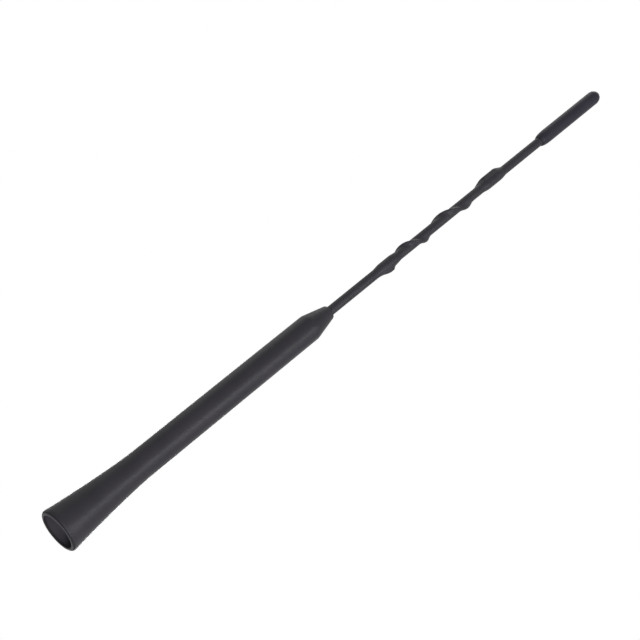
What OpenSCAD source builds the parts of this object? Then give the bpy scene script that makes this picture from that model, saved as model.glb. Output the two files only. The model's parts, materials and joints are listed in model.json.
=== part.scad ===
// Car roof mast aerial, standing on its foot with the mast along +Z.
// Origin: centre of the seating rim, on the axis of the threaded hole.

/* [Foot and flare] */
// Diameter of the rim that seats on the roof mount
foot_d = 17.8; // [14.4:0.1:22]
// Height of the raised rim bead
rim_h = 1.9; // [1.5:0.1:3]
// Radius of the rounded lower edge of the rim
rim_round = 1.05; // [0.6:0.05:1.3]
// Radial step from the rim bead in to the flare
rim_step = 0.07; // [0.04:0.01:0.3]
// Width of the rim, from its outside to the recess
rim_w = 1.7; // [1.35:0.05:2.1]
// Radius of the rim's inner edge
rim_edge_round = 0.25; // [0.1:0.05:0.3]
// Depth of the recess inside the rim
recess_depth = 5; // [4.1:0.1:6]
// Height at which the flare meets the barrel
flare_h = 40.5; // [30:0.5:52]
// Bend of the flare, where 1 is a straight cone
flare_power = 1.42; // [1.1:0.05:2]

/* [Grip] */
// Barrel diameter where the flare ends
barrel_d = 11.46; // [9.2:0.02:14]
// How much narrower the barrel is at the shoulder
barrel_taper = 0.26; // [0:0.02:0.6]
// Overall height of the rubber grip
grip_h = 142.9; // [112:0.2:180]
// Height of the tapered shoulder
shoulder_h = 11.2; // [8:0.1:16]
// Radius where the shoulder leaves the barrel
shoulder_round = 8.5; // [3:0.5:12]
// Diameter of the grip's upper end
neck_d = 6; // [4.9:0.1:7.2]
// Radius of the neck's upper edge
neck_round = 0.45; // [0.2:0.05:0.6]

/* [Threaded insert] */
// Diameter of the tapped bore
thread_bore_d = 5; // [4:0.1:6]
// Depth of the tapped bore
thread_depth = 12; // [9:0.5:15]
// Chamfer at the bore's mouth and round the flange
insert_chamfer = 0.5; // [0.2:0.05:0.6]
// Diameter of the flange that shows in the foot
insert_flange_d = 10; // [9:0.1:10.6]
// Thickness of that flange
insert_flange_h = 1.6; // [1.2:0.1:2.4]
// Diameter over the knurl
insert_d = 9; // [8:0.1:10.8]
// Depth of the knurl
knurl_depth = 0.35; // [0.2:0.05:0.5]
// Number of knurl ridges
knurl_count = 28; // [16:1:36]
// Diameter of the groove above the knurl
insert_neck_d = 6.8; // [6.2:0.1:7.6]
// Height of that groove
insert_neck_h = 2; // [1.5:0.1:3]
// Diameter of the collar above the groove
insert_collar_d = 8.2; // [7.8:0.1:9.8]
// Height of the collar
insert_collar_h = 2; // [1.5:0.1:3]
// Height of the boss that carries the coil former
insert_boss_h = 5; // [4.8:0.1:7]

/* [Loading coil] */
// Diameter of the core that the coil is wound on
former_core_d = 3.8; // [3.1:0.1:4.6]
// Thickness of each end flange of the former
former_flange_h = 1.2; // [0.8:0.1:2]
// Diameter of the spigot at each end of the former
spigot_d = 2.6; // [2:0.1:3]
// Length of each spigot
spigot_h = 4; // [3:0.1:4.7]
// Height between the former's flanges
coil_h = 28; // [22:0.5:34]
// Rise of the coil for each turn
coil_pitch = 1.8; // [1.4:0.1:2.6]
// Diameter of the coil's wire
coil_wire_d = 0.6; // [0.4:0.05:0.75]
// Wall of the tube shrunk over the coil
shrink_wall = 0.4; // [0.3:0.05:0.6]
// How far that tube reaches over the metal at each end
shrink_overlap = 3; // [2:0.1:4]

/* [Rod, ferrules and wire] */
// Diameter of the fibreglass rod
rod_d = 2.4; // [1.9:0.05:2.9]
// Height of the ferrule's lower body
ferrule_body_h = 8; // [6:0.1:10]
// Height of the crimped tube above that body
crimp_h = 18; // [14:0.5:22]
// Wall of the crimped tube
crimp_wall = 0.9; // [0.7:0.05:1.1]
// Depth of the crimp grooves
crimp_depth = 0.2; // [0.1:0.05:0.3]
// Height of each crimp groove
crimp_groove_h = 3; // [2:0.1:3.8]
// Height of the ring at the top of the rod
tip_ferrule_h = 7; // [5:0.1:9]
// Wall of that ring
tip_ferrule_wall = 0.6; // [0.4:0.05:0.75]
// Diameter of the wire wound round the rod
wire_d = 0.3; // [0.24:0.02:0.36]
// Rise of the wire for each turn
wire_pitch = 12; // [9:0.5:16]
// Wall of the sheath over the rod and the wire
sleeve_wall = 0.36; // [0.28:0.02:0.5]

/* [Spiral ridge] */
// Bare sheath between the grip and the lower band
lower_plain_h = 33.3; // [24:0.1:42]
// Bare sheath between the upper band and the tip cap
upper_plain_h = 30.4; // [22:0.2:40]
// Diameter of the cord under the sheath
cord_d = 0.9; // [0.7:0.05:1.1]
// Number of half turns that the cord makes
half_turns = 5; // [3:1:7]
// Rise of the first half turn
first_rise = 10.15; // [8:0.05:13]
// Extra rise of each half turn over the one before
rise_gain = 1.46; // [0.4:0.02:2]
// Height from the lower band's start to the cord's
cord_inset = 2.5; // [1:0.1:4]
// Straight run of the cord before its first turn
lower_tail = 1.3; // [0.8:0.1:3]
// Straight run of the cord after its last turn
upper_tail = 7.25; // [5:0.05:9]
// Height of the band under the cord's lower end
lower_band_h = 5.7; // [4:0.1:9]
// Thickness of that band
lower_band_t = 0.47; // [0.25:0.01:0.6]
// Height of the band under the cord's upper end
upper_band_h = 7.2; // [5:0.1:12]
// Thickness of that band
upper_band_t = 0.49; // [0.3:0.01:0.7]
// Height over which the sheath slopes off a band
band_slope = 5; // [3:0.1:7]

/* [Tip cap] */
// Diameter of the tip cap
cap_d = 6.2; // [5.6:0.02:7.4]
// Height of the tip cap
cap_h = 44.6; // [37:0.2:56]
// Height of the cap's rounded lower shoulder
cap_shoulder_h = 5.8; // [3:0.1:8]
// Height of the cap's domed end
cap_dome_h = 4; // [2.5:0.1:6]
// Thickness of the cap's lower lip
cap_lip = 0.12; // [0.05:0.01:0.3]
// Solid plastic above the rod inside the cap
cap_solid_h = 9; // [7:0.1:11]

/* [Hidden] */

$fn = 96;

// Gap between a piece and the rubber or plastic moulded round it
mould_gap = 0.05;
// Gap between pieces that lie on each other
lay_gap = 0.03;
// Room for the cord under the sheath, more than lay_gap where it leans in the turns
cord_room = 0.12;
// Gap between a spigot or rod and the hole that holds it
fit_gap = 0.03;
// Gap at the blind end of a hole
end_gap = 0.3;
// Gap between the coil and the tube shrunk over it
coil_cover_gap = 0.2;
// Solid metal between the drilled point and the groove above the knurl
insert_web = 0.6;
// Height of bare rod above the ring at its top
rod_stub = 1;
// Number of crimp grooves
crimp_count = 2;
// How far a cutting solid runs past what it cuts
cut_past = 1;

// Smoothness of the curved profiles and of the wires
arc_steps = 8;
flare_steps = 14;
coil_steps = 14;
coil_sides = 5;
wire_steps = 12;
wire_sides = 5;
cord_rings = 66;
cord_sides = 6;
sleeve_rings = 68;
sleeve_sides = 24;
// Crowding of the sheath's points towards the crest of its ridge
sleeve_crowding = 1.3;

// Radii from the centre outwards
foot_r = foot_d / 2;
recess_r = foot_r - rim_w;
barrel_r = barrel_d / 2;
shoulder_r = barrel_r - barrel_taper / 2;
neck_r = neck_d / 2;
thread_r = thread_bore_d / 2;
rod_r = rod_d / 2;
cap_r = cap_d / 2;
insert_r = insert_d / 2;
insert_flange_r = insert_flange_d / 2;
insert_neck_r = insert_neck_d / 2;
insert_collar_r = insert_collar_d / 2;
former_core_r = former_core_d / 2;
coil_wire_r = coil_wire_d / 2;
coil_path_r = (former_core_r + lay_gap + coil_wire_r) / cos(180 / coil_steps);
core_r = coil_path_r + coil_wire_r + coil_cover_gap;
shrink_in_r = core_r + mould_gap;
shrink_out_r = shrink_in_r + shrink_wall;
spigot_r = spigot_d / 2;
socket_r = spigot_r + fit_gap;
rod_hole_r = rod_r + fit_gap;
crimp_r = rod_r + crimp_wall;
tip_ferrule_r = rod_hole_r + tip_ferrule_wall;
wire_r = wire_d / 2;
wire_path_r = (rod_r + lay_gap + wire_r) / cos(180 / wire_steps);
sleeve_in_r = wire_path_r + wire_r + 2 * lay_gap;
sleeve_r = sleeve_in_r + sleeve_wall;
cord_r = cord_d / 2;

// Heights from the foot upwards
drill_point_h = thread_r * tan(30);
insert_z = recess_depth;
insert_flange_top = insert_z + insert_flange_h;
insert_body_top = insert_z + thread_depth + drill_point_h + insert_web;
insert_neck_top = insert_body_top + insert_neck_h;
insert_collar_top = insert_neck_top + insert_collar_h;
insert_top = insert_collar_top + insert_boss_h;
former_z = insert_top;
coil_z = former_z + former_flange_h;
coil_top = coil_z + coil_h;
former_top = coil_top + former_flange_h;
ferrule_z = former_top;
ferrule_body_top = ferrule_z + ferrule_body_h;
ferrule_top = ferrule_body_top + crimp_h;
shrink_z = insert_top - shrink_overlap;
shrink_top = ferrule_z + shrink_overlap;
shoulder_z = grip_h - shoulder_h;
lower_band_z = grip_h + lower_plain_h;
cord_z = lower_band_z + cord_inset;
spiral_z = cord_z + lower_tail;
spiral_top = spiral_z + rise_after(half_turns);
cord_top = spiral_top + upper_tail;
upper_band_top = cord_top;
upper_band_z = upper_band_top - upper_band_h;
cap_z = upper_band_top + upper_plain_h;
total_h = cap_z + cap_h;
rod_z = ferrule_body_top + end_gap;
rod_top = total_h - cap_solid_h;
tip_ferrule_top = rod_top - rod_stub;
tip_ferrule_z = tip_ferrule_top - tip_ferrule_h;
sleeve_z = ferrule_top + mould_gap;
sleeve_top = tip_ferrule_z - mould_gap;
ridge_z = lower_band_z - band_slope;
ridge_top = upper_band_top + band_slope;

function unit(v) = v / norm(v);

// A smooth step from 0 to 1 as x goes from 0 to 1
function smooth(x) = let (t = min(1, max(0, x))) t * t * (3 - 2 * t);

// A smooth plateau of height 1 from low to high, with a slope on each side
function plateau(z, low, high, slope) =
    smooth((z - low + slope) / slope) * smooth((high + slope - z) / slope);

// The points of the arc that rounds corner b between a and c
function corner_arc(a, b, c, radius) =
    let (
        ua = unit(a - b),
        uc = unit(c - b),
        half = acos(ua * uc) / 2,
        centre = b + unit(ua + uc) * radius / sin(half),
        first = b + ua * radius / tan(half) - centre,
        last = b + uc * radius / tan(half) - centre,
        from = atan2(first.y, first.x),
        sweep = atan2(first.x * last.y - first.y * last.x, first * last)
    )
    [
        for (i = [0:arc_steps])
            let (turn = from + sweep * i / arc_steps)
            centre + radius * [cos(turn), sin(turn)]
    ];

function flare_radius(z) =
    barrel_r + (foot_r - rim_step - barrel_r) * pow((flare_h - z) / (flare_h - rim_h), flare_power);

// Rise of the spiral after k half turns, and the half turns made at height z
function rise_after(k) = first_rise * k + rise_gain * k * (k - 1) / 2;
function turns_at(z) =
    let (b = first_rise - rise_gain / 2, rise = min(spiral_top, max(spiral_z, z)) - spiral_z)
    (sqrt(b * b + 2 * rise_gain * rise) - b) / rise_gain;
function crest_angle(z) = 180 * turns_at(z);

// How far the bands lift the cord and the sheath at height z
function band_lift(z) =
    lower_band_t * plateau(z, lower_band_z, lower_band_z + lower_band_h, band_slope)
    + upper_band_t * plateau(z, upper_band_z, upper_band_top, band_slope);

// Radius, at an angle from the crest, of a skin stretched over the rod and a rib beside it
function skin_radius(angle, around, rib_centre, rib_r) =
    let (
        a = abs(angle),
        line_a = acos(min(1, (around - rib_r) / rib_centre)),
        rib_a = atan2(rib_r * sin(line_a), rib_centre + rib_r * cos(line_a))
    )
    a >= line_a ? around
    : a > rib_a ? around / cos(line_a - a)
    : rib_centre * cos(a) + sqrt(max(0, pow(rib_r, 2) - pow(rib_centre * sin(a), 2)));

// Radius of the sheath at height z, a wall thickness of skin out from its inner side
function sheath_radius(z, angle, skin) =
    let (
        around = sleeve_in_r + band_lift(z) + skin,
        rib_r = cord_r + cord_room + skin,
        sunk_centre = around - rib_r,
        full_centre = sleeve_in_r + band_lift(z) + cord_r,
        shown = plateau(z, cord_z, cord_top, band_slope)
    )
    skin_radius(angle, around, sunk_centre + shown * (full_centre - sunk_centre), rib_r);

function on_cylinder(r, angle, z) = [r * cos(angle), r * sin(angle), z];

// A solid wire along a path that runs round the Z axis
module wire_along(path, radius, sides) {
    n = len(path);
    points = [
        for (i = [0:n - 1])
            let (
                p = path[i],
                along = unit(path[min(n - 1, i + 1)] - path[max(0, i - 1)]),
                out = unit([p.x, p.y, 0]),
                side_a = unit(out - (out * along) * along),
                side_b = cross(along, side_a)
            )
            for (j = [0:sides - 1])
                p + radius * (cos(360 * j / sides) * side_a + sin(360 * j / sides) * side_b)
    ];
    walls = [
        for (i = [0:n - 2], j = [0:sides - 1])
            let (low = i * sides, high = low + sides, k = (j + 1) % sides)
            each [
                [low + j, high + j, low + k],
                [low + k, high + j, high + k]
            ]
    ];
    ends = [
        [for (j = [0:sides - 1]) j],
        [for (j = [sides - 1:-1:0]) (n - 1) * sides + j]
    ];
    polyhedron(points, concat(walls, ends), convexity = 10);
}

module tube(z, h, inner_r, outer_r) {
    translate([0, 0, z])
        difference() {
            cylinder(h = h, r = outer_r);
            translate([0, 0, -cut_past])
                cylinder(h = h + 2 * cut_past, r = inner_r);
        }
}

module grip_sleeve() {
    g = mould_gap;
    rim = concat(
        corner_arc([recess_r, rim_h], [recess_r, 0], [foot_r, 0], rim_edge_round),
        corner_arc([recess_r, 0], [foot_r, 0], [foot_r, rim_h], rim_round),
        corner_arc([foot_r, 0], [foot_r, rim_h], [foot_r - rim_step, rim_h], rim_step / 2)
    );
    flare = [
        for (i = [0:flare_steps])
            let (z = rim_h + (flare_h - rim_h) * i / flare_steps)
            [flare_radius(z), z]
    ];
    shoulder = corner_arc([barrel_r, flare_h], [shoulder_r, shoulder_z], [neck_r, grip_h], shoulder_round);
    neck = corner_arc([shoulder_r, shoulder_z], [neck_r, grip_h], [sleeve_r, grip_h], neck_round);
    cavity = [
        [sleeve_r + g, grip_h],
        [sleeve_r + g, ferrule_top + g],
        [crimp_r + g, ferrule_top + g],
        [crimp_r + g, ferrule_body_top + g],
        [core_r + g, ferrule_body_top + g],
        [core_r + g, shrink_top + g],
        [shrink_out_r + g, shrink_top + g],
        [shrink_out_r + g, shrink_z - g],
        [core_r + g, shrink_z - g],
        [core_r + g, insert_collar_top + g],
        [insert_collar_r + g, insert_collar_top + g],
        [insert_collar_r + g, insert_neck_top - g],
        [insert_neck_r + g, insert_neck_top - g],
        [insert_neck_r + g, insert_body_top + g],
        [insert_r + g, insert_body_top + g],
        [insert_r + g, insert_flange_top + g],
        [insert_flange_r + g, insert_flange_top + g],
        [insert_flange_r + g, recess_depth],
        [recess_r, recess_depth]
    ];
    color([0.055, 0.055, 0.06])
        rotate_extrude()
            polygon(concat(rim, flare, shoulder, neck, cavity));
}

module threaded_insert() {
    turned = [
        [0, insert_z],
        [insert_flange_r - insert_chamfer, insert_z],
        [insert_flange_r, insert_z + insert_chamfer],
        [insert_flange_r, insert_flange_top],
        [insert_neck_r, insert_flange_top],
        [insert_neck_r, insert_neck_top],
        [insert_collar_r, insert_neck_top],
        [insert_collar_r, insert_collar_top],
        [core_r, insert_collar_top],
        [core_r, insert_top],
        [0, insert_top]
    ];
    drilled = [
        [0, insert_z - cut_past],
        [thread_r + insert_chamfer, insert_z - cut_past],
        [thread_r + insert_chamfer, insert_z],
        [thread_r, insert_z + insert_chamfer],
        [thread_r, insert_z + thread_depth],
        [0, insert_z + thread_depth + drill_point_h]
    ];
    knurl = [
        for (i = [0:2 * knurl_count - 1])
            let (r = i % 2 == 0 ? insert_r : insert_r - knurl_depth, a = 180 * i / knurl_count)
            [r * cos(a), r * sin(a)]
    ];
    color([0.2, 0.2, 0.21])
        difference() {
            union() {
                rotate_extrude()
                    polygon(turned);
                translate([0, 0, insert_flange_top - insert_chamfer])
                    linear_extrude(insert_body_top - insert_flange_top + insert_chamfer)
                        polygon(knurl);
            }
            rotate_extrude()
                polygon(drilled);
            translate([0, 0, insert_top - spigot_h - end_gap])
                cylinder(h = spigot_h + end_gap + cut_past, r = socket_r);
        }
}

module coil_former() {
    moulded = [
        [0, former_z - spigot_h],
        [spigot_r, former_z - spigot_h],
        [spigot_r, former_z],
        [core_r, former_z],
        [core_r, coil_z],
        [former_core_r, coil_z],
        [former_core_r, coil_top],
        [core_r, coil_top],
        [core_r, former_top],
        [spigot_r, former_top],
        [spigot_r, former_top + spigot_h],
        [0, former_top + spigot_h]
    ];
    notch_r = coil_path_r - coil_wire_r - lay_gap;
    notch_w = coil_wire_d + 2 * mould_gap;
    color([0.75, 0.74, 0.68])
        difference() {
            rotate_extrude()
                polygon(moulded);
            for (z = [former_z, coil_top])
                translate([notch_r, -notch_w / 2, z - cut_past])
                    cube([core_r, notch_w, former_flange_h + 2 * cut_past]);
        }
}

module loading_coil() {
    turns = floor((coil_h - 2 * coil_wire_d) / coil_pitch);
    first_z = coil_z + (coil_h - turns * coil_pitch) / 2;
    winding = [
        for (i = [0:turns * coil_steps])
            on_cylinder(coil_path_r, 360 * i / coil_steps, first_z + coil_pitch * i / coil_steps)
    ];
    lower_lead = [on_cylinder(coil_path_r, 0, former_z + lay_gap)];
    upper_lead = [on_cylinder(coil_path_r, 0, ferrule_z - lay_gap)];
    color([0.72, 0.36, 0.18])
        wire_along(concat(lower_lead, winding, upper_lead), coil_wire_r, coil_sides);
}

module coil_shrink_tube() {
    color([0.05, 0.05, 0.05])
        tube(shrink_z, shrink_top - shrink_z, shrink_in_r, shrink_out_r);
}

module rod_ferrule() {
    grooves = [
        for (i = [1:crimp_count])
            let (z = ferrule_body_top + crimp_h * i / (crimp_count + 1))
            each [
                [crimp_r, z - crimp_groove_h / 2],
                [crimp_r - crimp_depth, z - crimp_groove_h / 4],
                [crimp_r - crimp_depth, z + crimp_groove_h / 4],
                [crimp_r, z + crimp_groove_h / 2]
            ]
    ];
    lower = [
        [0, ferrule_z + spigot_h + end_gap],
        [socket_r, ferrule_z + spigot_h + end_gap],
        [socket_r, ferrule_z],
        [core_r, ferrule_z],
        [core_r, ferrule_body_top],
        [crimp_r, ferrule_body_top]
    ];
    upper = [
        [crimp_r, ferrule_top],
        [rod_hole_r, ferrule_top],
        [rod_hole_r, ferrule_body_top],
        [0, ferrule_body_top]
    ];
    color([0.78, 0.6, 0.28])
        rotate_extrude()
            polygon(concat(lower, grooves, upper));
}

module fibreglass_rod() {
    color([0.86, 0.84, 0.74])
        translate([0, 0, rod_z])
            cylinder(h = rod_top - rod_z, r = rod_r);
}

module whip_wire() {
    low = ferrule_top + wire_d;
    high = tip_ferrule_z - wire_d;
    steps = ceil((high - low) / wire_pitch * wire_steps);
    color([0.72, 0.36, 0.18])
        wire_along(
            [
                for (i = [0:steps])
                    let (z = low + (high - low) * i / steps)
                    on_cylinder(wire_path_r, 360 * (z - low) / wire_pitch, z)
            ],
            wire_r, wire_sides
        );
}

module lower_band() {
    color([0.12, 0.12, 0.13])
        tube(lower_band_z, lower_band_h, sleeve_in_r - lay_gap, sleeve_in_r + lower_band_t - lay_gap);
}

module upper_band() {
    color([0.12, 0.12, 0.13])
        tube(upper_band_z, upper_band_h, sleeve_in_r - lay_gap, sleeve_in_r + upper_band_t - lay_gap);
}

module spiral_cord() {
    rise = (cord_top - cord_z) / cord_rings;
    // The straight sides of the cord's path bow in, so its corners lie a little further out
    lift = 1 / cos(90 * rise / (first_rise - rise_gain / 2));
    color([0.5, 0.5, 0.48])
        wire_along(
            [
                for (i = [0:cord_rings])
                    let (z = cord_z + rise * i)
                    on_cylinder((sleeve_in_r + band_lift(z) + cord_r) * lift, crest_angle(z), z)
            ],
            cord_r, cord_sides
        );
}

module rod_sleeve() {
    heights = concat(
        [sleeve_z],
        [for (i = [0:sleeve_rings]) ridge_z + (ridge_top - ridge_z) * i / sleeve_rings],
        [sleeve_top]
    );
    half = sleeve_sides / 2;
    angles = [
        for (j = [-half:half - 1])
            sign(j) * 180 * pow(abs(j) / half, sleeve_crowding)
    ];
    // The inner side's flat facets bow in, so their corners lie a little further out
    inner_lift = 1 / cos((180 + angles[1]) / 2);
    outer = [
        for (z = heights, a = angles)
            on_cylinder(sheath_radius(z, a, sleeve_wall), crest_angle(z) + a, z)
    ];
    inner = [
        for (z = heights, a = angles)
            on_cylinder(sheath_radius(z, a, 0) * inner_lift, crest_angle(z) + a, z)
    ];
    n = len(heights);
    m = sleeve_sides;
    walls = [
        for (i = [0:n - 2], j = [0:m - 1])
            let (low = i * m, high = low + m, k = (j + 1) % m, deep = n * m)
            each [
                [low + j, high + j, low + k],
                [low + k, high + j, high + k],
                [deep + low + j, deep + low + k, deep + high + j],
                [deep + low + k, deep + high + k, deep + high + j]
            ]
    ];
    ends = [
        for (j = [0:m - 1])
            let (k = (j + 1) % m, top = (n - 1) * m, deep = n * m)
            each [
                [j, k, deep + k, deep + j],
                [top + j, deep + top + j, deep + top + k, top + k]
            ]
    ];
    color([0.045, 0.045, 0.05])
        polyhedron(concat(outer, inner), concat(walls, ends), convexity = 10);
}

module tip_ferrule() {
    color([0.78, 0.6, 0.28])
        tube(tip_ferrule_z, tip_ferrule_h, rod_hole_r, tip_ferrule_r);
}

module tip_cap() {
    g = mould_gap;
    lip_r = sleeve_r + g + cap_lip;
    shoulder = [
        for (i = [0:arc_steps])
            let (a = 90 * i / arc_steps)
            [lip_r + (cap_r - lip_r) * sin(a), cap_z + cap_shoulder_h * (1 - cos(a))]
    ];
    dome = [
        for (i = [0:arc_steps])
            let (a = 90 * i / arc_steps)
            [cap_r * cos(a), total_h - cap_dome_h * (1 - sin(a))]
    ];
    cavity = [
        [0, rod_top + g],
        [rod_r + g, rod_top + g],
        [rod_r + g, tip_ferrule_top + g],
        [tip_ferrule_r + g, tip_ferrule_top + g],
        [tip_ferrule_r + g, tip_ferrule_z],
        [sleeve_r + g, tip_ferrule_z],
        [sleeve_r + g, cap_z]
    ];
    color([0.05, 0.05, 0.055])
        rotate_extrude()
            polygon(concat(shoulder, dome, cavity));
}

grip_sleeve();
threaded_insert();
coil_former();
loading_coil();
coil_shrink_tube();
rod_ferrule();
fibreglass_rod();
whip_wire();
lower_band();
upper_band();
spiral_cord();
rod_sleeve();
tip_ferrule();
tip_cap();
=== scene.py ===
import json
import math

import bpy
import numpy as np
from mathutils import Matrix, Vector


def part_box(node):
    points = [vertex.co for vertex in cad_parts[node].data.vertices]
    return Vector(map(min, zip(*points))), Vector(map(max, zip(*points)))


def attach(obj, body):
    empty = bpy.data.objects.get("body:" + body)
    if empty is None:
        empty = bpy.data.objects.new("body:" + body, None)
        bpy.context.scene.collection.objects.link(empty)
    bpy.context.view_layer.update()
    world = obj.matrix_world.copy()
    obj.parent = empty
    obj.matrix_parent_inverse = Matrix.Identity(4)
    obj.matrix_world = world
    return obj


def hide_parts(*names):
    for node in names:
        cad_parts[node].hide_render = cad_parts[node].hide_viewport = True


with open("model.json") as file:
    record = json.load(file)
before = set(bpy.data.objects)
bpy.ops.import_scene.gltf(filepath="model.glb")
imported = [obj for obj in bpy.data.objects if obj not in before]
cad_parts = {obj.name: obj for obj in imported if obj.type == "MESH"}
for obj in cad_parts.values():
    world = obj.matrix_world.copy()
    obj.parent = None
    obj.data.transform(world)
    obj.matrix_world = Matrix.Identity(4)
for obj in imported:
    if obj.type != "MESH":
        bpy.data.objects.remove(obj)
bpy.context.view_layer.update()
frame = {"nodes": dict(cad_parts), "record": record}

MM = 0.001

# Camera, from the photograph
PHOTO_PX = 640
SENSOR_MM = 36
FOCAL_PX = 1500
NEAREST_SEEN = 0.01
# Where the middle of the foot shows, and how far it is from the camera
FOOT_PX = (57.3, 532.2)
FOOT_DEPTH = 0.532
# The mast leans away from the camera, and climbs to the right across the picture
MAST_LEAN = math.radians(29.54)
MAST_CLIMB = math.radians(39.05)

# Strength of the white backdrop where it shows, and of the grey light that it gives
BACKDROP_SEEN = 1.0
BACKDROP_LIGHT = 0.2
FLOOR_SIZE = 6
FLOOR_Z = -0.05 * MM
FLOOR_GREY = 0.25
FLOOR_ROUGHNESS = 0.9
FLOOR_GLOW = 0.7

# Corners of the solids' boxes, in metres
GRIP_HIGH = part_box("grip_sleeve")[1]
SHEATH_LOW, SHEATH_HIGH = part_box("rod_sleeve")
CAP_LOW, CAP_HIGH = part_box("tip_cap")
INSERT_LOW, INSERT_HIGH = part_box("threaded_insert")
CORD_LOW, CORD_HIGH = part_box("spiral_cord")
LOWER_BAND_LOW, LOWER_BAND_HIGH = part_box("lower_band")
UPPER_BAND_LOW, UPPER_BAND_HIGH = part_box("upper_band")
FERRULE_LOW, FERRULE_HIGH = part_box("rod_ferrule")
TIP_FERRULE_LOW, TIP_FERRULE_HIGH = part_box("tip_ferrule")
TUBE_LOW, TUBE_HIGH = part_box("coil_shrink_tube")
ROD_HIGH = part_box("fibreglass_rod")[1]
FORMER_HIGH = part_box("coil_former")[1]

# Foot and grip
FOOT_R = GRIP_HIGH.x
RIM_H = 1.9 * MM
RIM_ROUND = 1.05 * MM
RIM_STEP = 0.07 * MM
RIM_W = 1.7 * MM
RIM_EDGE_ROUND = 0.25 * MM
RECESS_R = FOOT_R - RIM_W
FLARE_H = 40.5 * MM
FLARE_POWER = 1.42
BARREL_R = 5.73 * MM
SHOULDER_R = 5.6 * MM
SHOULDER_H = 11.2 * MM
SHOULDER_ROUND = 8.5 * MM
NECK_R = 3.0 * MM
NECK_ROUND = 0.45 * MM
MOULD_GAP = 0.05 * MM

# Threaded insert
THREAD_MINOR_R = 2.5 * MM
THREAD_MAJOR_R = 3.0 * MM
THREAD_PITCH = 1.0 * MM
THREAD_DEPTH = 12 * MM
THREAD_RUN_OUT = 2 * MM
# Widths of the thread's flat crest and flat root, in parts of the pitch
THREAD_CREST = 1 / 4
THREAD_ROOT = 1 / 8
DRILL_POINT_SLOPE = math.tan(math.radians(30))
INSERT_R = 4.5 * MM
KNURL_DEPTH = 0.35 * MM
KNURL_COUNT = 28
INSERT_CHAMFER = 0.5 * MM
INSERT_FLANGE_H = 1.6 * MM
INSERT_NECK_R = 3.4 * MM
INSERT_NECK_H = 2 * MM
INSERT_COLLAR_R = 4.1 * MM
INSERT_COLLAR_H = 2 * MM
INSERT_BOSS_H = 5 * MM
SOCKET_R = 1.33 * MM
SOCKET_H = 4.3 * MM

# Coil, ferrule and rod
CORE_R = FORMER_HIGH.x
INSERT_BODY_TOP = INSERT_HIGH.z - INSERT_BOSS_H - INSERT_COLLAR_H - INSERT_NECK_H
FERRULE_BODY_H = 8 * MM
CRIMP_WALL = 0.9 * MM
CRIMP_R = ROD_HIGH.x + CRIMP_WALL

# Sheath, and the cord and bands under it
LOWER_LIFT = 0.47 * MM
UPPER_LIFT = 0.49 * MM
BAND_GAP = 0.03 * MM
SHEATH_IN_R = LOWER_BAND_HIGH.x - LOWER_LIFT + BAND_GAP
SHEATH_WALL = 0.36 * MM
SHEATH_R = SHEATH_IN_R + SHEATH_WALL
CORD_R = 0.45 * MM
CORD_ROOM = 0.12 * MM
BAND_SLOPE = 5 * MM
# Ends of the cord that run straight along the mast, and the winding part between them
LOWER_TAIL = 1.3 * MM
UPPER_TAIL = 7.25 * MM
SPIRAL_Z = CORD_LOW.z + LOWER_TAIL
SPIRAL_TOP = CORD_HIGH.z - UPPER_TAIL
# How far the cord climbs in its first half turn, and how much more in each one after
FIRST_RISE = 10.15 * MM
RISE_GAIN = 1.46 * MM

# Tip cap
CAP_R = CAP_HIGH.x
CAP_LIP = 0.12 * MM
CAP_SHOULDER_H = 5.8 * MM
CAP_DOME_H = 4 * MM

# Fineness of the meshes
LATHE_COLUMNS = 128
# Four columns to each knurl ridge
INSERT_COLUMNS = 4 * KNURL_COUNT
THREAD_RINGS = 193
FLARE_RINGS = 48
BARREL_RINGS = 40
RIM_STEPS = 12
RIM_EDGE_STEPS = 6
RIM_TOP_STEPS = 5
SHOULDER_STEPS = 12
NECK_STEPS = 8
SHEATH_COLUMNS = 96
# More than 1 crowds the sheath's columns towards the ridge
SHEATH_CROWDING = 1.3
SHEATH_LOWER_RINGS = 12
SHEATH_RIDGE_RINGS = 360
SHEATH_UPPER_RINGS = 8
CAP_CURVE_RINGS = 16
CAP_SIDE_RINGS = 12
# Edges sharper than this aren't smoothed
SHARP_EDGE = math.radians(38)

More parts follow.
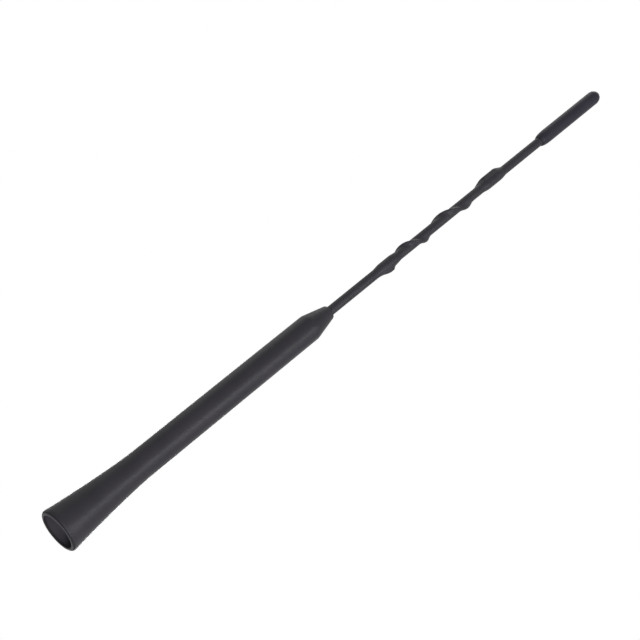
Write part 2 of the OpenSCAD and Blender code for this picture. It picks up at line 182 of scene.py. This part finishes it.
# Each material's darkest and lightest colour, the span of its roughness, the sizes of its
# mottle, grain and fine grain in mm, and the depth of its bump in mm
FINISHES = {
    "grip_rubber": {
        "dark": (0.0199, 0.0186, 0.0224), "light": (0.0247, 0.0229, 0.0273),
        "roughness": (0.36, 0.46), "grain": (12, 0.9, 0.3), "depth": 0.03, "specular": 0.11,
    },
    "whip_sheath": {
        "dark": (0.0212, 0.0198, 0.0240), "light": (0.0262, 0.0246, 0.0290),
        "roughness": (0.42, 0.52), "grain": (6, 0.7, 0.25), "depth": 0.015, "specular": 0.12,
    },
    "cap_plastic": {
        "dark": (0.0172, 0.0165, 0.0242), "light": (0.0210, 0.0202, 0.0280),
        "roughness": (0.42, 0.52), "grain": (10, 0.8, 0.3), "depth": 0.012, "specular": 0.10,
    },
    "dark_plated_metal": {
        "dark": (0.022, 0.021, 0.022), "light": (0.034, 0.032, 0.032),
        "roughness": (0.6, 0.75), "grain": (3, 0.6, 0.2), "depth": 0.01,
        "metallic": 0.6, "specular": 0.3,
    },
    "pale_plastic": {
        "dark": (0.5, 0.48, 0.4), "light": (0.6, 0.58, 0.5),
        "roughness": (0.4, 0.5), "grain": (5, 0.8, 0.3), "depth": 0.01,
    },
    "copper_wire": {
        "dark": (0.45, 0.16, 0.06), "light": (0.6, 0.25, 0.1),
        "roughness": (0.25, 0.4), "grain": (3, 0.4, 0.1), "depth": 0.004, "metallic": 1.0,
    },
    "shrink_tube": {
        "dark": (0.015, 0.015, 0.015), "light": (0.025, 0.025, 0.025),
        "roughness": (0.45, 0.6), "grain": (4, 0.6, 0.2), "depth": 0.01,
    },
    "brass": {
        "dark": (0.6, 0.4, 0.14), "light": (0.7, 0.5, 0.2),
        "roughness": (0.25, 0.45), "grain": (4, 0.5, 0.15), "depth": 0.005,
        "metallic": 1.0, "stretch_z": 6,
    },
    "fibreglass": {
        "dark": (0.6, 0.56, 0.4), "light": (0.75, 0.72, 0.55),
        "roughness": (0.4, 0.55), "grain": (4, 0.3, 0.1), "depth": 0.008, "stretch_z": 0.05,
    },
}

# Painted shade and painted light on the foot: (part of SHADE_H up from the rim, grey), where 0.5
# changes nothing, less is painted shade and more is painted light
SHADE_H = 2 * MM
# Painted shade at the mouth of the recess, and painted light further in
RECESS_PAINTED_SHADE_AND_LIGHT = ((0, 0.25), (0.25, 0.25), (0.6, 0.77), (1, 0.77))
# Painted shade on the rounded corner of the rim
RIM_PAINTED_SHADE = ((0, 0.49), (0.05, 0.49), (0.1, 0.25), (0.22, 0.25), (0.35, 0.5))
# The recess's painted greys end this far inside its wall, and this far above the insert's face
WALL_MARGIN = 0.15 * MM
WALL_BLEND = 0.15 * MM
FACE_MARGIN = 0.05 * MM
FACE_BLEND = 0.1 * MM
# Roughness that a painted grey of 0 adds
SHADE_ROUGHNESS = 0.45


def unit(v):
    return v / np.linalg.norm(v)


def corner_arc(a, b, c, radius, steps):
    """The points of the arc that rounds corner b between a and c."""
    a, b, c = (np.array(p, float) for p in (a, b, c))
    ua, uc = unit(a - b), unit(c - b)
    half = math.acos(ua @ uc) / 2
    centre = b + unit(ua + uc) * radius / math.sin(half)
    first = b + ua * radius / math.tan(half) - centre
    last = b + uc * radius / math.tan(half) - centre
    start = math.atan2(first[1], first[0])
    sweep = math.atan2(first[0] * last[1] - first[1] * last[0], first @ last)
    turns = start + sweep * np.linspace(0, 1, steps + 1)
    return [centre + radius * np.array([math.cos(t), math.sin(t)]) for t in turns]


def quarter(count):
    return np.linspace(0, math.pi / 2, count)


def stretch(a, b, count):
    """Points or heights from a to b, without b."""
    a, b = np.array(a), np.array(b)
    return [a + (b - a) * i / count for i in range(count)]


def mesh_piece(name, rows, closed, poles=(None, None)):
    """A smooth piece from rings of points.

    closed joins the last ring to the first, and a pole caps an end."""
    rows = [np.asarray(r, float) for r in rows]
    columns = len(rows[0])
    points = [tuple(p) for r in rows for p in r]
    sides = [(j, (j + 1) % columns) for j in range(columns)]
    starts = [i * columns for i in range(len(rows))]
    pairs = list(zip(starts, starts[1:]))
    if closed:
        pairs.append((starts[-1], 0))
    faces = [(low + j, low + k, high + k, high + j) for low, high in pairs for j, k in sides]
    if poles[0] is not None:
        faces += [(len(points), k, j) for j, k in sides]
        points.append(tuple(poles[0]))
    if poles[1] is not None:
        faces += [(len(points), starts[-1] + j, starts[-1] + k) for j, k in sides]
        points.append(tuple(poles[1]))
    mesh = bpy.data.meshes.new(name)
    mesh.from_pydata(points, [], faces)
    mesh.shade_smooth()
    mesh.set_sharp_from_angle(angle=SHARP_EDGE)
    mesh.update()
    piece = bpy.data.objects.new(name, mesh)
    bpy.context.scene.collection.objects.link(piece)
    return piece


def ring(radii, turns, z):
    """Points at height z, one at each turn in radians; the radii may be one number."""
    x, y, z = np.broadcast_arrays(radii * np.cos(turns), radii * np.sin(turns), z)
    return np.stack([x, y, z], axis=1)


def turned(name, outline, columns=LATHE_COLUMNS):
    """Revolves (radius, height) pairs about the mast.

    A radius is a number or one for each column. The piece closes at its ends on the axis,
    or on itself."""

    def on_axis(radius):
        return np.isscalar(radius) and radius == 0

    turns = 2 * math.pi * np.arange(columns) / columns
    poles = [(0, 0, z) if on_axis(r) else None for r, z in (outline[0], outline[-1])]
    rows = [ring(r, turns, z) for r, z in outline if not on_axis(r)]
    return mesh_piece(name, rows, poles == [None, None], poles)


def flare_radius(z):
    reach = (FLARE_H - z) / (FLARE_H - RIM_H)
    return BARREL_R + (FOOT_R - RIM_STEP - BARREL_R) * max(0.0, reach) ** FLARE_POWER


def grip_piece():
    """The moulded rubber grip, hollow for the insert, the coil and the ferrule."""
    gap = MOULD_GAP
    top = GRIP_HIGH.z
    # The outline's corners, from the recess's mouth up to the neck
    mouth_top = (RECESS_R, RIM_H)
    mouth = (RECESS_R, 0)
    rim_low = (FOOT_R, 0)
    rim_top = (FOOT_R, RIM_H)
    flare_low = (FOOT_R - RIM_STEP, RIM_H)
    flare_top = (BARREL_R, FLARE_H)
    shoulder = (SHOULDER_R, top - SHOULDER_H)
    neck = (NECK_R, top)
    outside = (
        corner_arc(mouth_top, mouth, rim_low, RIM_EDGE_ROUND, RIM_EDGE_STEPS)
        + corner_arc(mouth, rim_low, rim_top, RIM_ROUND, RIM_STEPS)
        + corner_arc(rim_low, rim_top, flare_low, RIM_STEP / 2, RIM_TOP_STEPS)
        + [(flare_radius(z), z) for z in np.linspace(RIM_H, FLARE_H, FLARE_RINGS)]
        + stretch(flare_top, (SHOULDER_R, shoulder[1] - SHOULDER_ROUND), BARREL_RINGS)[1:]
        + corner_arc(flare_top, shoulder, neck, SHOULDER_ROUND, SHOULDER_STEPS)
        + corner_arc(shoulder, neck, (0, top), NECK_ROUND, NECK_STEPS)
    )
    # Each step of the hollow: its radius, and the height at which the next one begins
    hollow = [
        (SHEATH_R, FERRULE_HIGH.z + gap),
        (CRIMP_R, FERRULE_LOW.z + FERRULE_BODY_H + gap),
        (CORE_R, TUBE_HIGH.z + gap),
        (TUBE_HIGH.x, TUBE_LOW.z - gap),
        (CORE_R, INSERT_HIGH.z - INSERT_BOSS_H + gap),
        (INSERT_COLLAR_R, INSERT_HIGH.z - INSERT_BOSS_H - INSERT_COLLAR_H - gap),
        (INSERT_NECK_R, INSERT_BODY_TOP + gap),
        (INSERT_R, INSERT_LOW.z + INSERT_FLANGE_H + gap),
        (INSERT_HIGH.x, INSERT_LOW.z),
    ]
    inside = []
    for radius, bottom in hollow:
        inside += [(radius + gap, top), (radius + gap, bottom)]
        top = bottom
    piece = turned("grip", outside + inside + [(RECESS_R, INSERT_LOW.z)])
    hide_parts("grip_sleeve")
    return piece


def thread_radius(z, turns):
    """Radius of the threaded bore at height z, at each of the given parts of a turn."""
    phase = np.mod((z - INSERT_LOW.z) / THREAD_PITCH - turns, 1)
    half_groove = (1 - THREAD_CREST) / 2
    flank = half_groove - THREAD_ROOT / 2
    groove = np.clip((half_groove - np.abs(phase - 0.5)) / flank, 0, 1)
    left = (INSERT_LOW.z + THREAD_DEPTH - z) / THREAD_RUN_OUT
    depth = (THREAD_MAJOR_R - THREAD_MINOR_R) * min(1.0, max(0.0, left))
    mouth = THREAD_MINOR_R + max(0.0, INSERT_LOW.z + INSERT_CHAMFER - z)
    return np.maximum(mouth, THREAD_MINOR_R + depth * groove)


def insert_piece():
    """The knurled insert, with its blind threaded hole and the coil former's socket."""
    turns = np.arange(INSERT_COLUMNS) / INSERT_COLUMNS
    thread_end = INSERT_LOW.z + THREAD_DEPTH
    heights = np.linspace(thread_end, INSERT_LOW.z, THREAD_RINGS)
    thread = [(thread_radius(z, turns), z) for z in heights]
    knurl = INSERT_R - KNURL_DEPTH * (1 - np.abs(1 - np.mod(turns * KNURL_COUNT, 1) * 2))
    flange_r, flange_top = INSERT_HIGH.x, INSERT_LOW.z + INSERT_FLANGE_H
    neck_top = INSERT_BODY_TOP + INSERT_NECK_H
    collar_top = neck_top + INSERT_COLLAR_H
    outside = [
        (flange_r - INSERT_CHAMFER, INSERT_LOW.z),
        (flange_r, INSERT_LOW.z + INSERT_CHAMFER),
        (flange_r, flange_top),
        (knurl, flange_top),
        (knurl, INSERT_BODY_TOP),
        (INSERT_NECK_R, INSERT_BODY_TOP),
        (INSERT_NECK_R, neck_top),
        (INSERT_COLLAR_R, neck_top),
        (INSERT_COLLAR_R, collar_top),
        (CORE_R, collar_top),
        (CORE_R, INSERT_HIGH.z),
        (SOCKET_R, INSERT_HIGH.z),
        (SOCKET_R, INSERT_HIGH.z - SOCKET_H),
        (0, INSERT_HIGH.z - SOCKET_H),
    ]
    drill_point = [(0, thread_end + THREAD_MINOR_R * DRILL_POINT_SLOPE)]
    piece = turned("insert", drill_point + thread + outside, INSERT_COLUMNS)
    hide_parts("threaded_insert")
    return piece


def smooth_step(x):
    t = np.clip(x, 0, 1)
    return t * t * (3 - 2 * t)


def plateau(z, low, high):
    """A smooth plateau of height 1 from low to high, with a slope on each side."""
    rise = smooth_step((z - low + BAND_SLOPE) / BAND_SLOPE)
    return rise * smooth_step((high + BAND_SLOPE - z) / BAND_SLOPE)


def crest_angle(z):
    """The side, in radians from +X, on which the ridge lies at height z."""
    first = FIRST_RISE - RISE_GAIN / 2
    rise = np.clip(z, SPIRAL_Z, SPIRAL_TOP) - SPIRAL_Z
    return math.pi * (math.sqrt(first * first + 2 * RISE_GAIN * rise) - first) / RISE_GAIN


def band_lift(z):
    lower = LOWER_LIFT * plateau(z, LOWER_BAND_LOW.z, LOWER_BAND_HIGH.z)
    return lower + UPPER_LIFT * plateau(z, UPPER_BAND_LOW.z, UPPER_BAND_HIGH.z)


def sheath_radius(z, angle, skin):
    """Radius of a skin stretched over the rod and the cord, at an angle from the crest."""
    around = SHEATH_IN_R + band_lift(z) + skin
    rib_r = CORD_R + CORD_ROOM + skin
    # The rib's centre comes up from under the skin at each end of the cord
    sunk = around - rib_r
    full = SHEATH_IN_R + band_lift(z) + CORD_R
    centre = sunk + plateau(z, CORD_LOW.z, CORD_HIGH.z) * (full - sunk)
    # A straight web runs from the rib at rib_a to the round part at line_a
    line_a = math.acos(min(1.0, sunk / centre))
    rib_a = math.atan2(rib_r * math.sin(line_a), centre + rib_r * math.cos(line_a))
    a = np.abs(angle)
    reach = np.sqrt(np.maximum(0, rib_r**2 - (centre * np.sin(a)) ** 2))
    on_rib = centre * np.cos(a) + reach
    on_line = around / np.cos(np.clip(line_a - a, 0, line_a))
    return np.where(a >= line_a, around, np.where(a > rib_a, on_line, on_rib))


def sheath_piece():
    """The shrink sheath; its rings turn with the ridge, so the crest stays clean."""
    half = SHEATH_COLUMNS // 2
    share = np.arange(-half, half) / half
    angles = np.sign(share) * math.pi * np.abs(share) ** SHEATH_CROWDING
    low, high = LOWER_BAND_LOW.z - BAND_SLOPE, UPPER_BAND_HIGH.z + BAND_SLOPE
    heights = [
        *stretch(SHEATH_LOW.z, low, SHEATH_LOWER_RINGS),
        *stretch(low, high, SHEATH_RIDGE_RINGS),
        *stretch(high, SHEATH_HIGH.z, SHEATH_UPPER_RINGS),
        SHEATH_HIGH.z,
    ]

    def row(z, skin):
        return ring(sheath_radius(z, angles, skin), angles + crest_angle(z), z)

    rows = [row(z, SHEATH_WALL) for z in heights] + [row(z, 0.0) for z in reversed(heights)]
    piece = mesh_piece("whip_sheath", rows, closed=True)
    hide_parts("rod_sleeve")
    return piece


def cap_piece():
    """The tip cap: a rounded lower shoulder, a straight side and a domed end."""
    gap = MOULD_GAP
    lip_r = SHEATH_R + gap + CAP_LIP
    side_low, side_top = CAP_LOW.z + CAP_SHOULDER_H, CAP_HIGH.z - CAP_DOME_H
    shoulder = [
        (lip_r + (CAP_R - lip_r) * math.sin(a), CAP_LOW.z + CAP_SHOULDER_H * (1 - math.cos(a)))
        for a in quarter(CAP_CURVE_RINGS)
    ]
    side = stretch((CAP_R, side_low), (CAP_R, side_top), CAP_SIDE_RINGS)[1:]
    dome = [
        (CAP_R * math.cos(a), CAP_HIGH.z - CAP_DOME_H * (1 - math.sin(a)))
        for a in quarter(CAP_CURVE_RINGS)[:-1]
    ]
    inside = [
        (0, ROD_HIGH.z + gap),
        (ROD_HIGH.x + gap, ROD_HIGH.z + gap),
        (ROD_HIGH.x + gap, TIP_FERRULE_HIGH.z + gap),
        (TIP_FERRULE_HIGH.x + gap, TIP_FERRULE_HIGH.z + gap),
        (TIP_FERRULE_HIGH.x + gap, TIP_FERRULE_LOW.z),
        (SHEATH_R + gap, TIP_FERRULE_LOW.z),
        (SHEATH_R + gap, CAP_LOW.z),
    ]
    piece = turned("cap", inside + shoulder + side + dome + [(0, CAP_HIGH.z)])
    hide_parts("tip_cap")
    return piece


def add(tree, kind, inputs=None, **settings):
    """A new node. Each input is given a value, or the output that feeds it."""
    node = tree.nodes.new("ShaderNode" + kind)
    for name, value in settings.items():
        setattr(node, name, value)
    for name, value in (inputs or {}).items():
        if isinstance(value, bpy.types.NodeSocket):
            tree.links.new(value, node.inputs[name])
        else:
            node.inputs[name].default_value = value
    return node


def new_material(name):
    """A material, its node tree and its shader's inputs."""
    material = bpy.data.materials.new(name)
    material.use_nodes = True
    return material, material.node_tree, material.node_tree.nodes["Principled BSDF"].inputs


def between(tree, value, low, high, from_low=0.3, from_high=0.7):
    """A value spread between low and high; by default it is a noise's middle range."""
    span = {"From Min": from_low, "From Max": from_high, "To Min": low, "To Max": high}
    return add(tree, "MapRange", {"Value": value, **span}).outputs["Result"]


def mixed(tree, factor, a, b):
    colours = {"Factor": factor, "A": a, "B": b}
    return add(tree, "Mix", colours, data_type="RGBA").outputs["Result"]


def combined(tree, operation, a, b, kind="Math"):
    return add(tree, kind, {0: a, 1: b}, operation=operation).outputs[0]


def noise(tree, coords, size):
    inputs = {"Vector": coords, "Scale": 1 / size, "Detail": 3.0, "Roughness": 0.5}
    return add(tree, "TexNoise", inputs).outputs["Fac"]


def textured(
    name, dark, light, roughness, grain, depth, metallic=0.0, specular=0.5, stretch_z=1.0
):
    """A material with mottled colour and gloss, and a bump of two grain sizes."""
    material, tree, shader = new_material(name)
    shader["Metallic"].default_value = metallic
    shader["Specular IOR Level"].default_value = specular
    place = add(tree, "TexCoord").outputs["Object"]
    coords = add(tree, "Mapping", {"Vector": place, "Scale": (1, 1, stretch_z)}).outputs["Vector"]
    mottle, coarse, fine = (noise(tree, coords, size * MM) for size in grain)
    patches = between(tree, mottle, 0, 1)
    tree.links.new(mixed(tree, patches, (*dark, 1), (*light, 1)), shader["Base Color"])
    tree.links.new(between(tree, coarse, *roughness), shader["Roughness"])
    height = add(tree, "Math", {0: fine, 1: 0.5, 2: coarse}, operation="MULTIPLY_ADD")
    bump = {"Height": height.outputs["Value"], "Strength": 1.0, "Distance": depth * MM}
    tree.links.new(add(tree, "Bump", bump).outputs["Normal"], shader["Normal"])
    return material


def ramp(tree, value, stops):
    """A grey that runs through (place, grey) stops."""
    node = add(tree, "ValToRGB", {"Fac": value})
    points = node.color_ramp.elements
    while len(points) < len(stops):
        points.new(1.0)
    for point, (place, grey) in zip(points, stops):
        point.position = place
        point.color = (grey, grey, grey, 1)
    return node.outputs["Color"]


def paint_foot_shade_and_light(material):
    """Paints shade on the mouth of the foot's recess and on the corner of its rim.

    The recess has its own painted greys, which also paint light on it further in."""
    tree = material.node_tree
    shader = tree.nodes["Principled BSDF"].inputs
    place = add(tree, "TexCoord").outputs["Object"]
    z = add(tree, "SeparateXYZ", {"Vector": place}).outputs["Z"]
    flat = combined(tree, "MULTIPLY", place, (1, 1, 0), "VectorMath")
    radius = add(tree, "VectorMath", {0: flat}, operation="LENGTH").outputs["Value"]
    up = between(tree, z, 0, 1, 0, SHADE_H)
    wall, face = RECESS_R + WALL_MARGIN, INSERT_LOW.z + FACE_MARGIN
    past_wall = between(tree, radius, 0, 1, wall, wall + WALL_BLEND)
    past_face = between(tree, z, 0, 1, face, face + FACE_BLEND)
    outside = combined(tree, "MAXIMUM", past_wall, past_face)
    # Painted shade and painted light: twice the grey multiplies the base colour
    grey = mixed(tree, outside, ramp(tree, up, RECESS_PAINTED_SHADE_AND_LIGHT), ramp(tree, up, RIM_PAINTED_SHADE))
    plain = shader["Base Color"].links[0].from_socket
    half_colour = combined(tree, "MULTIPLY", plain, grey, "VectorMath")
    colour = combined(tree, "MULTIPLY", half_colour, (2, 2, 2), "VectorMath")
    tree.links.new(colour, shader["Base Color"])
    added = between(tree, grey, SHADE_ROUGHNESS, 0, 0, 0.5)
    roughness = combined(tree, "ADD", shader["Roughness"].links[0].from_socket, added)
    tree.links.new(roughness, shader["Roughness"])


def dress(piece, material):
    piece.data.materials.clear()
    piece.data.materials.append(material)


def soft_light(name, aim_z, azimuth, elevation, distance, size, power):
    """A round lamp aimed at the mast at height aim_z.

    Azimuth 0 is the -Y side and 90 the +X side."""
    lamp = bpy.data.lights.new(name, "AREA")
    lamp.shape = "DISK"
    lamp.size = size
    lamp.energy = power
    holder = bpy.data.objects.new(name, lamp)
    bpy.context.scene.collection.objects.link(holder)
    a, e = math.radians(azimuth), math.radians(elevation)
    out = Vector((math.sin(a) * math.cos(e), -math.cos(a) * math.cos(e), math.sin(e)))
    holder.location = Vector((0, 0, aim_z)) + out * distance
    holder.rotation_mode = "QUATERNION"
    holder.rotation_quaternion = (-out).to_track_quat("-Z", "Y")


def backdrop_strength(tree, seen, unseen):
    """A strength for the rays that show the backdrop, also in a mirror, and one for the rest."""
    path = add(tree, "LightPath").outputs
    shows = combined(tree, "MAXIMUM", path["Is Camera Ray"], path["Is Glossy Ray"])
    shows = combined(tree, "MAXIMUM", shows, path["Is Transmission Ray"])
    return between(tree, shows, unseen, seen, 0, 1)


def make_world():
    """White behind the object, and a plain grey light on it from all round."""
    world = bpy.data.worlds.new("studio")
    bpy.context.scene.world = world
    world.use_nodes = True
    tree = world.node_tree
    background = tree.nodes["Background"].inputs
    background["Color"].default_value = (1, 1, 1, 1)
    strength = backdrop_strength(tree, BACKDROP_SEEN, BACKDROP_LIGHT)
    tree.links.new(strength, background["Strength"])


def make_floor():
    """A pale floor under the foot, clear from below, where the photograph's camera looks up.

    It glows only for the rays that show the backdrop, so it puts no light on the object."""
    bpy.ops.mesh.primitive_plane_add(size=FLOOR_SIZE, location=(0, 0, FLOOR_Z))
    floor = bpy.context.object
    floor.name = "floor"
    material, tree, shader = new_material("floor")
    shader["Base Color"].default_value = (FLOOR_GREY, FLOOR_GREY, FLOOR_GREY, 1)
    shader["Roughness"].default_value = FLOOR_ROUGHNESS
    shader["Specular IOR Level"].default_value = 0.0
    shader["Emission Color"].default_value = (1, 1, 1, 1)
    tree.links.new(backdrop_strength(tree, FLOOR_GLOW, 0), shader["Emission Strength"])
    surface = add(tree, "MixShader", {
        "Fac": add(tree, "NewGeometry").outputs["Backfacing"],
        1: tree.nodes["Principled BSDF"].outputs["BSDF"],
        2: add(tree, "BsdfTransparent").outputs["BSDF"],
    })
    output = tree.nodes["Material Output"].inputs["Surface"]
    tree.links.new(surface.outputs["Shader"], output)
    dress(floor, material)
    for ray in ("diffuse", "glossy", "transmission", "shadow"):
        setattr(floor, "visible_" + ray, False)


def make_camera():
    """The photograph's camera: below the foot, looking up along the mast, and rolled."""
    forward = Vector((0, math.cos(MAST_LEAN), math.sin(MAST_LEAN)))
    level_up = Vector((0, -math.sin(MAST_LEAN), math.cos(MAST_LEAN)))
    level_right = Vector((1, 0, 0))
    right = level_up * math.cos(MAST_CLIMB) + level_right * math.sin(MAST_CLIMB)
    up = level_up * math.sin(MAST_CLIMB) - level_right * math.cos(MAST_CLIMB)
    across = (FOOT_PX[0] - PHOTO_PX / 2) / FOCAL_PX * FOOT_DEPTH
    above = (PHOTO_PX / 2 - FOOT_PX[1]) / FOCAL_PX * FOOT_DEPTH
    place = -(right * across + up * above + forward * FOOT_DEPTH)
    lens = bpy.data.cameras.new("camera")
    lens.sensor_width = SENSOR_MM
    lens.lens = FOCAL_PX / PHOTO_PX * SENSOR_MM
    lens.clip_start = NEAREST_SEEN
    camera = bpy.data.objects.new("camera", lens)
    bpy.context.scene.collection.objects.link(camera)
    turn = Matrix((right, up, -forward)).transposed()
    camera.matrix_world = Matrix.Translation(place) @ turn.to_4x4()
    bpy.context.scene.camera = camera


make_camera()
make_world()
make_floor()
soft_light("key", aim_z=0.12, azimuth=29, elevation=-40, distance=0.7, size=0.3, power=5.4)
soft_light("shine", aim_z=0.08, azimuth=33, elevation=20, distance=0.8, size=0.3, power=2.3)
soft_light("tip", aim_z=0.31, azimuth=45, elevation=0, distance=0.35, size=0.3, power=0.5)
soft_light("far_side", aim_z=0.14, azimuth=-110, elevation=60, distance=0.8, size=0.5, power=1.2)
soft_light("far_tip", aim_z=0.31, azimuth=-100, elevation=0, distance=0.35, size=0.25, power=0.25)
soft_light("back", aim_z=0.14, azimuth=180, elevation=12, distance=0.9, size=0.5, power=7.0)

materials = {name: textured(name, **finish) for name, finish in FINISHES.items()}
# Painted shade and painted light on the foot of the grip
paint_foot_shade_and_light(materials["grip_rubber"])
slots = {s["node"]: s["material_slot"] for s in frame["record"]["subparts"]}
for node, piece in frame["nodes"].items():
    dress(piece, materials[slots[node]])

made = {
    "grip_rubber": grip_piece(),
    "whip_sheath": sheath_piece(),
    "cap_plastic": cap_piece(),
    "dark_plated_metal": insert_piece(),
}
for slot, piece in made.items():
    dress(piece, materials[slot])
    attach(piece, "root")

bpy.context.scene.view_settings.view_transform = "Standard"
